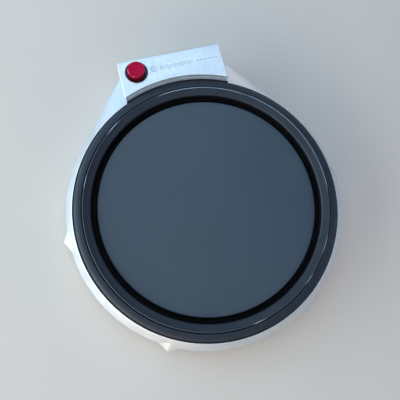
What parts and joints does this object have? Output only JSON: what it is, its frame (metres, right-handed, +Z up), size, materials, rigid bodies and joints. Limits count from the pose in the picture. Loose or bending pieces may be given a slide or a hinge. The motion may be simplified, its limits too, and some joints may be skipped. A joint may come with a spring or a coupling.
{
  "type": "electronic drum pad",
  "caption": "Compact round electronic drum pad: soft striking disc in a stepped black rim and a satin metal case, with a raised control block and a red push button.",
  "frame": {"origin": "mouth of the threaded stand insert in the underside of the base, on the axis of the round pad", "axes": "+Z up through the playing surface, +Y from the pad's axis towards the control block, +X to the right seen from above with the block at the far side"},
  "size_m": [0.1666, 0.1737, 0.0302],
  "materials": {
    "case_metal": "satin bead-blasted and clear anodised",
    "ring_black": "satin black moulded",
    "pad_rubber": "smooth satin",
    "steel": "plain rolled",
    "foam": "open-cell foam",
    "brass": "plain",
    "ceramic": "fired ceramic with silvered face",
    "base_plastic": "fine spark texture",
    "tray_plastic": "moulded",
    "foot_rubber": "matt",
    "board_green": "solder mask",
    "chip_black": "moulded epoxy",
    "header_white": "nylon",
    "cell_wrap": "plain blue sleeve",
    "screw_steel": "zinc plated",
    "button_red": "crimson anodised, satin",
    "socket_steel": "nickel plated"
  },
  "bodies": {
    "case": {"upper_shell": "case_metal", "control_block": "case_metal", "rim_inner_ring": "ring_black", "rim_outer_ring": "ring_black", "plate_foam_ring": "foam", "sensor_foam_tape": "foam", "sensor_foam_cone": "foam", "piezo_disc": "brass", "piezo_ceramic": "ceramic", "chassis_tray": "tray_plastic", "base_cover": "base_plastic", "battery_cell": "cell_wrap", "battery_contacts": "brass", "stand_insert": "brass", "rubber_feet": "foot_rubber", "main_board": "board_green", "main_board_chips": "chip_black", "main_board_headers": "header_white", "control_board": "board_green", "tactile_switch": "chip_black", "button_collar": "tray_plastic", "button_spring": "screw_steel", "charging_socket": "socket_steel", "base_screws": "screw_steel", "tray_screws": "screw_steel", "block_screws": "screw_steel", "main_board_screws": "screw_steel", "control_board_screws": "screw_steel"},
    "strike_head": {"pad_skin": "pad_rubber", "strike_plate": "steel"},
    "button": {"button_cap": "button_red", "switch_plunger": "chip_black"},
    "battery_hatch": {"battery_door": "base_plastic"}
  },
  "joints": [
    {"name": "pad_strike", "type": "slide", "parent": "case", "child": "strike_head", "axis": [0, 0, -1], "range_m": [0, 0.0006], "stiffness_N_per_m": 12000, "springref_m": -0.0005, "deforming": ["plate_foam_ring", "sensor_foam_cone"]},
    {"name": "button_press", "type": "slide", "parent": "case", "child": "button", "axis": [0, 0, -1], "range_m": [0, 0.001], "stiffness_N_per_m": 500, "springref_m": -0.002, "deforming": ["button_spring"]},
    {"name": "door_slide", "type": "slide", "parent": "case", "child": "battery_hatch", "axis": [0, -1, 0], "range_m": [0, 0.048]}
  ]
}
